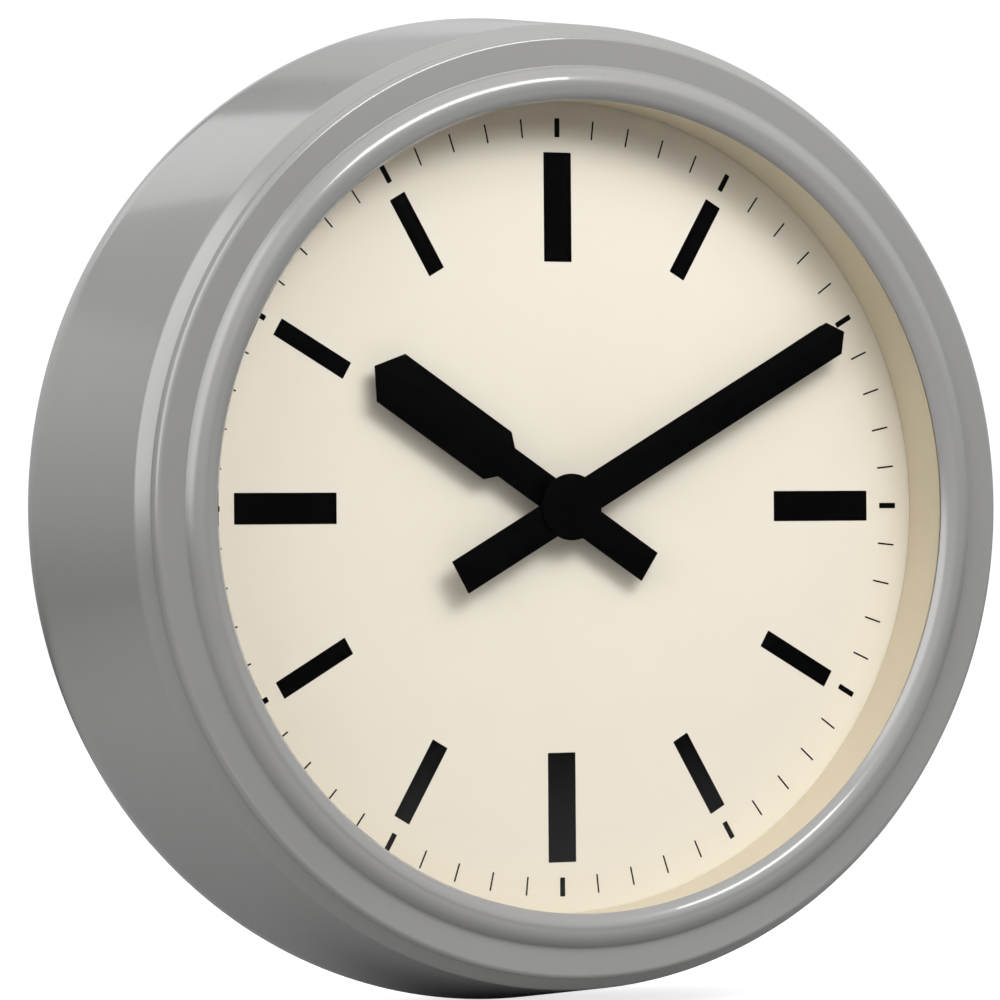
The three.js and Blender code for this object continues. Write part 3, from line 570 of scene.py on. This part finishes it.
def clear_glass():
    """Clear sheet: what is behind shows through, and each face mirrors a little."""
    material = bpy.data.materials.new("clear_glass")
    material.use_nodes = True
    tree = material.node_tree
    tree.nodes.remove(tree.nodes["Principled BSDF"])
    clear = tree.nodes.new("ShaderNodeBsdfTransparent")
    clear.inputs["Color"].default_value = (0.99, 0.989, 0.986, 1)
    mirror = tree.nodes.new("ShaderNodeBsdfGlossy")
    mirror.inputs["Roughness"].default_value = 0.0
    fresnel = tree.nodes.new("ShaderNodeFresnel")
    geometry = tree.nodes.new("ShaderNodeNewGeometry")
    # A ray goes straight through, so the far face meets air at the inverse index.
    index = ranged(tree, geometry.outputs["Backfacing"], 0, 1, GLASS_INDEX, 1 / GLASS_INDEX)
    tree.links.new(index, fresnel.inputs["IOR"])
    mix = tree.nodes.new("ShaderNodeMixShader")
    tree.links.new(fresnel.outputs[0], mix.inputs[0])
    tree.links.new(clear.outputs[0], mix.inputs[1])
    tree.links.new(mirror.outputs[0], mix.inputs[2])
    tree.links.new(mix.outputs[0], tree.nodes["Material Output"].inputs["Surface"])
    return material


ENAMEL = enamel()
CREAM = cream()
# The dial's cream darkened: painted shade for the reflector ring's recessed wall.
CREAM_IN_PAINTED_SHADE = tan()
INK = ink()
HAND_BLACK = black_paint()
PANEL_BLACK = panel_paint()
PLASTIC = moulded("black_moulding", (0.012, 0.012, 0.013), (0.022, 0.022, 0.023))
NYLON = moulded("white_nylon", (0.81, 0.79, 0.74), (0.74, 0.71, 0.64))
ZINC = metal("zinc_plate", (0.56, 0.57, 0.58), (0.4, 0.41, 0.43), 0.32)
BRASS = metal("turned_brass", (0.6, 0.39, 0.12), (0.45, 0.28, 0.08), 0.26)
COPPER = metal("copper_wire", (0.55, 0.15, 0.05), (0.35, 0.08, 0.025), 0.35, stretch=(12, 1, 1))
RUBBER = rubber()
BOARD = circuit()
SLEEVE = cell_sleeve()
GLASS = clear_glass()


# ---- Case, bezel and glass ----
def build_case():
    rim = [(REAR_LEDGE_INNER, REAR_LEDGE_Y), (REAR_STEP_RADIUS, REAR_LEDGE_Y),
           (REAR_RIM_INNER, 0.0), (REAR_RIM_OUTER, 0.0)]
    path = rounded(rim, 0.7, closed=False)[:-1]
    path += arc(REAR_CENTRE, -REAR_ROUND, REAR_ROUND, math.pi / 2, -CASE_TAPER, 48)
    side_y = SHOULDER_Y + 0.2
    side_r = FLANGE_EDGE_R + SHOULDER_CHAMFER / math.cos(CASE_TAPER)
    side_r += math.tan(CASE_TAPER) * (side_y - SHOULDER_Y)
    shoulder = [path[-1], (side_r, side_y, SHOULDER_EASE),
                (BEZEL_RADIUS, FRONT_Y, FLANGE_EASE), (FLANGE_INNER, FRONT_Y)]
    path += rounded(shoulder, 1.0, closed=False, steps=6)[1:]
    drum = turned("case_shell", sheet(path, CASE_SHEET))
    place(drum, "case", "enamel", ENAMEL, "case_drum")

    edge_r = BEZEL_RADIUS - BEZEL_EDGE_ROUND
    edge_y = BEZEL_RING_Y + BEZEL_EDGE_ROUND
    path = [(BEZEL_RADIUS, BEZEL_BACK_Y), (BEZEL_RADIUS, BEZEL_BACK_Y - 1.2)]
    path += arc(edge_r, edge_y, BEZEL_EDGE_ROUND, 0, -math.pi / 2, 14)
    lip_start, lip_end = LIP_OUT - math.pi / 2, -LIP_IN - math.pi / 2
    lip = arc(LIP_CENTRE_R, LIP_CENTRE_Y, LIP_ROUND, lip_start, lip_end, 44)
    corner = rounded([path[-1], lip[0], lip[3]], 0.6, closed=False, steps=5)[1:-1]
    path += corner + lip[3:]
    shell = turned("bezel_ring", sheet(path, BEZEL_SHEET))
    studs = []
    for angle in (45, 135, 225, 315):
        x, z = polar(STUD_CIRCLE, angle)
        front = BEZEL_RING_Y + BEZEL_SHEET + 0.1
        tip = BEZEL_RING_Y + STUD_LENGTH
        profile = [(0, front), (STUD_RADIUS, front), (STUD_RADIUS, tip - 0.5),
                   (STUD_RADIUS - 0.5, tip), (0, tip)]
        studs.append(turned("stud", profile, 24, x, z))
    bezel = joined("bezel_shell", [shell, *studs])
    place(bezel, "case", "enamel", ENAMEL, "bezel")

    pane = rounded([(0, GLASS_FRONT_Y, 0), (GLASS_RADIUS, GLASS_FRONT_Y),
                    (GLASS_RADIUS, GLASS_BACK_Y), (0, GLASS_BACK_Y, 0)], 0.4)
    place(turned("glass_pane", pane), "case", "clear_glass", GLASS, "glass")
    front, back = GLASS_BACK_Y + GAP, FRONT_Y - GAP
    gasket = rounded([(GASKET_INNER, front), (GLASS_RADIUS, front),
                      (GLASS_RADIUS, back), (GASKET_INNER, back)], 0.25)
    place(turned("gasket", gasket), "case", "rubber", RUBBER, "glass_gasket")


# ---- Dial, its print and the reflector ring ----
def build_dial():
    back = DIAL_Y + DIAL_SHEET
    rim = BEZEL_RADIUS - 2
    profile = rounded([(DIAL_HOLE, DIAL_Y), (rim, DIAL_Y), (rim, back), (DIAL_HOLE, back)], 0.15)
    place(turned("dial", profile), "case", "cream", CREAM, "dial_plate")

    wall = FACE_RADIUS + RING_WALL
    foot = FACE_RADIUS + RING_FOOT
    ring_back = DIAL_Y - GAP
    ring_front = GLASS_BACK_Y + GAP
    profile = rounded([
        (FACE_RADIUS, ring_front), (wall, ring_front), (wall, ring_back - RING_WALL),
        (foot, ring_back - RING_WALL), (foot, ring_back), (FACE_RADIUS, ring_back, 0.1),
    ], 0.3)
    # The ring wall takes the cream darkened into painted shade, standing in for the shade in the
    # recess under the lip.
    place(turned("reflector", profile), "case", "cream", CREAM_IN_PAINTED_SHADE, "reflector_ring")

    marks = bmesh.new()
    for minute in range(60):
        if minute % 15 == 0:
            mark(marks, minute, QUARTER_BAR_INNER, BAR_OUTER, QUARTER_BAR_WIDTH)
        elif minute % 5 == 0:
            mark(marks, minute, HOUR_BAR_INNER, BAR_OUTER, HOUR_BAR_WIDTH)
        tick = HOUR_TICK_WIDTH if minute % 5 == 0 else MINUTE_TICK_WIDTH
        mark(marks, minute, TICK_INNER, TICK_OUTER, tick)
    place(new_object("dial_print", finish_mesh(marks, "dial_print")), "case", "hand_black", INK)


def mark(bm, minute, inner, outer, width):
    """A printed bar or tick: a thin raised film of ink with eased corners."""
    angle = math.radians(6 * minute)
    out = Vector((math.sin(angle), math.cos(angle)))
    across = Vector((out.y, -out.x))
    half = width / 2
    corners = [(inner, -half), (outer, -half), (outer, half), (inner, half)]
    loop = rounded(corners, min(0.35, 0.3 * width), steps=3)
    front, back = [], []
    for along, side in loop:
        point = out * along + across * side
        x, z = point * MM
        front.append(bm.verts.new((x, (DIAL_Y - INK_FRONT) * MM, z)))
        back.append(bm.verts.new((x, (DIAL_Y - INK_BACK) * MM, z)))
    bm.faces.new(front)
    bm.faces.new(back[::-1])
    for i in range(len(front)):
        k = (i + 1) % len(front)
        bm.faces.new((front[i], back[i], back[k], front[k]))


# ---- Hands ----
def hand_outline(half, degrees):
    """An outline drawn pointing to twelve, mirrored and turned clockwise to its time."""
    points = half + [(-across, along) for across, along in reversed(half) if across != 0]
    cos, sin = math.cos(math.radians(degrees)), math.sin(math.radians(degrees))
    eased = rounded(points, 0.25, steps=3)
    return [(across * cos + along * sin, along * cos - across * sin) for across, along in eased]


def collet(name, outer, bore, front, back):
    profile = rounded([(bore, front), (outer, front), (outer, back), (bore, back)], 0.2)
    return turned(name, profile, 48)


def build_hands():
    front, back = DIAL_Y - 8.4, DIAL_Y - 7.4
    half = [(7.5, -49.2), (7.5, 36.4), (12.6, 41.8), (12.6, 103.9), (0, 113.3)]
    outline = hand_outline(half, HOUR_ANGLE)
    blade = plate("hour_blade", [outline, circle(HOUR_ARBOR)], front, back, 0.12)
    bush = collet("hour_bush", 4.7, HOUR_ARBOR, back - 0.02, DIAL_Y - 4.9)
    hand = joined("hour_hand_blade", [blade, bush])
    place(hand, "hour", "hand_black", HAND_BLACK, "hour_hand")

    front, back = DIAL_Y - 11.2, DIAL_Y - 10.4
    outline = hand_outline([(8.1, -63.1), (8.1, 156.1), (0, 162.3)], MINUTE_ANGLE)
    blade = plate("minute_blade", [outline, circle(MINUTE_ARBOR)], front, back, 0.12)
    bush = collet("minute_bush", 3.6, MINUTE_ARBOR, back - 0.02, DIAL_Y - 8.8)
    hand = joined("minute_hand_blade", [blade, bush])
    place(hand, "minute", "hand_black", HAND_BLACK, "minute_hand")

    back = DIAL_Y - 11.5
    front = back - 0.8
    profile = rounded([(0, front, 0), (14.9, front, 0.5), (14.9, back, 0.1), (0, back, 0)], 0.2)
    place(turned("hub_disc", profile, 128), "minute", "hand_black", HAND_BLACK, "hub_cap")


# ---- Back ----
def slotted_screw(name, x, z, head_y, head_radius, head_height, shank_radius, length, turn):
    """A domed head with a driver slot on a plain shank; the head stands towards +Y."""
    top = head_y + head_height
    profile = rounded([
        (0, head_y - length, 0), (shank_radius, head_y - length, 0.3),
        (shank_radius, head_y, 0.05), (head_radius, head_y, 0.15),
        (head_radius, top - 0.35, 0.3), (head_radius * 0.55, top, 2.0), (0, top, 0),
    ], 0.2)
    screw = turned(name, profile, 40, x, z)
    bm = bmesh.new()
    bmesh.ops.create_cube(bm, size=1.0)
    cutter = new_object(name + "_slot", finish_mesh(bm, name + "_slot"))
    cutter.scale = (3 * head_radius * MM, 0.9 * MM, 0.9 * MM)
    cutter.location = (x * MM, (top - 0.1) * MM, z * MM)
    cutter.rotation_euler = (0, turn, 0)
    cut_with(screw, cutter)
    return screw


def cut_with(obj, cutter):
    modifier = obj.modifiers.new("cut", "BOOLEAN")
    modifier.operation = "DIFFERENCE"
    modifier.solver = "EXACT"
    modifier.object = cutter
    mesh = evaluated_mesh(obj)
    obj.modifiers.clear()
    old = obj.data
    obj.data = mesh
    bpy.data.meshes.remove(old)
    bpy.data.objects.remove(cutter)
    shade(mesh)


def cover_opening():
    """The hole in the panel, with a notch for each of the cover's three tabs."""
    loop = []
    for degrees in range(0, 360, 2):
        near = min(abs((degrees - (60 + 120 * k) + 180) % 360 - 180) for k in range(3))
        loop.append(polar(COVER_NOTCH if near <= 13 else COVER_OPENING, degrees))
    return loop


def build_panel():
    window = rounded([(-8, 106), (8, 106), (8, 134), (-8, 134)], 1.5)
    holes = [circle(2.0, x, HANGER_Z, 24) for x in RIVET_XS]
    holes += [circle(2.0, *polar(PANEL_SCREW_CIRCLE, a), 24) for a in PANEL_SCREW_ANGLES]
    loops = [circle(PANEL_RADIUS, steps=192), cover_opening(), window, *holes]
    panel = plate("rear_panel", loops, PANEL_FRONT_Y, PANEL_BACK_Y, 0.2)
    place(panel, "case", "panel_black", PANEL_BLACK, "back_panel")


def build_cover():
    front, back = COVER_FRONT_Y, COVER_BACK_Y
    loops = [circle(COVER_RADIUS, steps=128), circle(7, -20), circle(7, 20)]
    lid = plate("lid", loops, front, back, 0.35)
    profile = rounded([(56, -5.4), (59.4, -5.4), (59.4, front), (56, front)], 0.25)
    collar = turned("collar", profile, 128)
    tabs = []
    for i in range(3):
        start = 90 + 120 * i - 8
        outer = [polar(63.5, start + 16 * k / 8) for k in range(9)]
        inner = [polar(58.5, start + 16 - 16 * k / 8) for k in range(9)]
        tabs.append(plate("tab", [rounded(outer + inner, 0.3)], -5.5, -4.1, 0.2))
    ribs = []
    for r in (50.0, 60.0):
        loops = [circle(r + 0.9, steps=128), circle(r - 0.9, steps=128)]
        ribs.append(plate("rib", loops, back - 0.15, back + 0.25, 0.12))
    cover = joined("battery_lid", [lid, collar, *tabs, *ribs])
    place(cover, "cover", "black_plastic", PLASTIC, "battery_cover")


def keyhole():
    """A round hole for the hook's head with a narrow slot above it."""
    eye_z, slot, slot_top = 114, 2.6, 125
    eye = [(x, z + eye_z) for x, z in [polar(5, a) for a in range(120, 421, 10)]]
    loop = [(x, z) for x, z in eye if not (z > eye_z and abs(x) < slot)]
    for degrees in range(0, 181, 15):
        x, z = polar(slot, degrees)
        loop.append((x, slot_top + z))
    return loop


def build_hanger():
    outline = rounded([(-30, 104), (30, 104), (30, 136), (-30, 136)], 2.5)
    holes = [circle(2.0, x, HANGER_Z, 24) for x in RIVET_XS]
    hanger = plate("keyhole_plate", [outline, keyhole(), *holes], -5.5, -4.0, 0.15)
    place(hanger, "case", "zinc_steel", ZINC, "hanger_plate")
    profile = rounded([
        (0, -6.8, 0), (2.7, -6.8, 0.4), (2.7, -5.8, 0.1), (1.7, -5.8, 0), (1.7, -1.9, 0),
        (3.3, -1.9, 0.1), (3.0, -1.1, 0.6), (1.5, -0.9, 1.0), (0, -0.9, 0),
    ], 0.1)
    for i, x in enumerate(RIVET_XS, start=1):
        rivet = turned(f"rivet_{i}", profile, 32, x, HANGER_Z)
        place(rivet, "case", "zinc_steel", ZINC, f"hanger_rivet_{i}")


def build_panel_screws():
    for i, angle in enumerate(PANEL_SCREW_ANGLES, start=1):
        x, z = polar(PANEL_SCREW_CIRCLE, angle)
        turn = random.uniform(0, math.pi)
        screw = slotted_screw(f"back_screw_{i}", x, z, -1.9, 3.6, 1.5, 1.7, 10, turn)
        place(screw, "case", "zinc_steel", ZINC, f"panel_screw_{i}")


def build_back():
    build_panel()
    build_cover()
    build_hanger()
    build_panel_screws()


def carry(material, *nodes):
    """CAD nodes whose shape is right keep it and take a finished material."""
    for node in nodes:
        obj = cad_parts[node]
        if not obj.data.materials:
            obj.data.materials.append(material)
        for slot in obj.material_slots:
            slot.link = "OBJECT"
            slot.material = material


def carry_inside():
    numbers = range(1, 5)
    carry(ZINC, *[f"dial_post_{i}" for i in numbers], *[f"dial_screw_{i}" for i in numbers])
    carry(ZINC, "clutch_spring", "rotor", "stator", "coil_core", "crystal")
    carry(ZINC, "contact_minus", "contact_plus")
    carry(BRASS, "stem_washer", "stem_nut", "minute_arbor", "hour_wheel")
    carry(PLASTIC, "movement_front", "movement_back", "setting_knob")
    carry(NYLON, "train_bridge", "motion_wheel", "centre_wheel", "third_wheel")
    carry(NYLON, "seconds_wheel", "idler_wheel")
    carry(RUBBER, "dial_washer")
    carry(COPPER, "coil")
    carry(BOARD, "circuit_board")
    carry(SLEEVE, "battery")


# ---- Floor, light and camera ----
def area_light(name, location, target, width, height, power):
    data = bpy.data.lights.new(name, "AREA")
    data.shape = "RECTANGLE"
    data.size = width
    data.size_y = height
    data.energy = power
    obj = bpy.data.objects.new(name, data)
    bpy.context.scene.collection.objects.link(obj)
    obj.location = location
    aim = Vector(target) - Vector(location)
    obj.rotation_euler = aim.to_track_quat("-Z", "Y").to_euler()
    return obj


def camera_only(tree, seen_by_camera, seen_by_rest):
    """One shader for the camera's own rays and another for light bouncing about the studio."""
    path = tree.nodes.new("ShaderNodeLightPath")
    mix = tree.nodes.new("ShaderNodeMixShader")
    tree.links.new(path.outputs["Is Camera Ray"], mix.inputs[0])
    tree.links.new(seen_by_rest, mix.inputs[1])
    tree.links.new(seen_by_camera, mix.inputs[2])
    return mix.outputs[0]


def build_stage():
    """A pale floor that shows as white paper and bounces little light up under the case."""
    bm = bmesh.new()
    bmesh.ops.create_circle(bm, cap_ends=True, segments=96, radius=FLOOR_RADIUS)
    floor = new_object("studio_floor", finish_mesh(bm, "studio_floor"))
    floor.location = (0, -0.1, cad_box[0][2] - FLOOR_DROP)
    paper = Paint("floor_paper", (0.35, 0.35, 0.35), 0.8, specular=0.0)
    tree = paper.tree
    distance = tree.nodes.new("ShaderNodeVectorMath")
    distance.operation = "LENGTH"
    tree.links.new(paper.where, distance.inputs[0])
    paper.tint(paper.remap(distance.outputs["Value"], 0.45, 1.2, 0, 1), (0.02,) * 3)
    pale = tree.nodes.new("ShaderNodeBsdfDiffuse")
    pale.inputs["Color"].default_value = (0.7, 0.7, 0.7, 1)
    glow = tree.nodes.new("ShaderNodeEmission")
    glow.inputs["Strength"].default_value = 0.75
    both = tree.nodes.new("ShaderNodeAddShader")
    tree.links.new(pale.outputs[0], both.inputs[0])
    tree.links.new(glow.outputs[0], both.inputs[1])
    out = camera_only(tree, both.outputs[0], paper.shader.outputs[0])
    tree.links.new(out, tree.nodes["Material Output"].inputs["Surface"])
    floor.data.materials.append(paper.material)


def build_world():
    """A studio lit from above and the left, with the dark room that the glass mirrors."""
    world = bpy.data.worlds.new("studio")
    bpy.context.scene.world = world
    world.use_nodes = True
    tree = world.node_tree
    background = tree.nodes["Background"]
    direction = tree.nodes.new("ShaderNodeTexCoord").outputs["Generated"]
    split = tree.nodes.new("ShaderNodeSeparateXYZ")
    tree.links.new(direction, split.inputs[0])
    x, y, z = split.outputs
    overhead = grey_ramp(tree, ranged(tree, z, -1, 1), OVERHEAD)
    behind = grey_ramp(tree, ranged(tree, x, -1, 1), BEHIND, "EASE")
    is_behind = product(tree, ranged(tree, y, 0.6, 0.66), ranged(tree, z, 0.34, 0.4))
    room = blended(tree, is_behind, overhead, behind)
    to_left = ranged(tree, facing(tree, direction, GLOW_FROM), 0.788, 0.94, smooth=True)
    glow = product(tree, to_left, ranged(tree, z, -0.17, 0.12, smooth=True))
    lit = blended(tree, glow, room, (GLOW_LEVEL, GLOW_LEVEL, GLOW_LEVEL, 1))
    mirrored = facing(tree, direction, MIRRORED_BY_GLASS)
    level = ranged(tree, mirrored, 0.945, 0.99, WORLD_STRENGTH, 0.02 * WORLD_STRENGTH, smooth=True)
    tree.links.new(lit, background.inputs["Color"])
    tree.links.new(level, background.inputs["Strength"])
    white = tree.nodes.new("ShaderNodeBackground")
    white.inputs["Color"].default_value = (1, 1, 1, 1)
    white.inputs["Strength"].default_value = 1.05
    out = camera_only(tree, white.outputs[0], background.outputs[0])
    tree.links.new(out, tree.nodes["World Output"].inputs["Surface"])


def build_lights():
    face = (0, DIAL_Y * MM, 0)
    # Only the small light beside it shows as a highlight; the large one only lights.
    key = area_light("key", (0.16, -1.0, 0.72), face, 1.15, 0.7, 9.0)
    key.visible_glossy = False
    area_light("spark", (0.14, -0.85, 0.6), face, 0.45, 0.24, 3.2)


def build_camera():
    data = bpy.data.cameras.new("camera")
    data.sensor_width = SENSOR_WIDTH
    data.lens = FOCAL_LENGTH
    data.clip_end = 50
    camera = bpy.data.objects.new("camera", data)
    bpy.context.scene.collection.objects.link(camera)
    camera.location = CAMERA_AT
    camera.rotation_euler = tuple(math.radians(a) for a in CAMERA_DEGREES)
    bpy.context.scene.camera = camera


build_case()
build_dial()
build_hands()
build_back()
carry_inside()
build_stage()
build_world()
build_lights()
build_camera()
bpy.context.scene.view_settings.view_transform = "Standard"
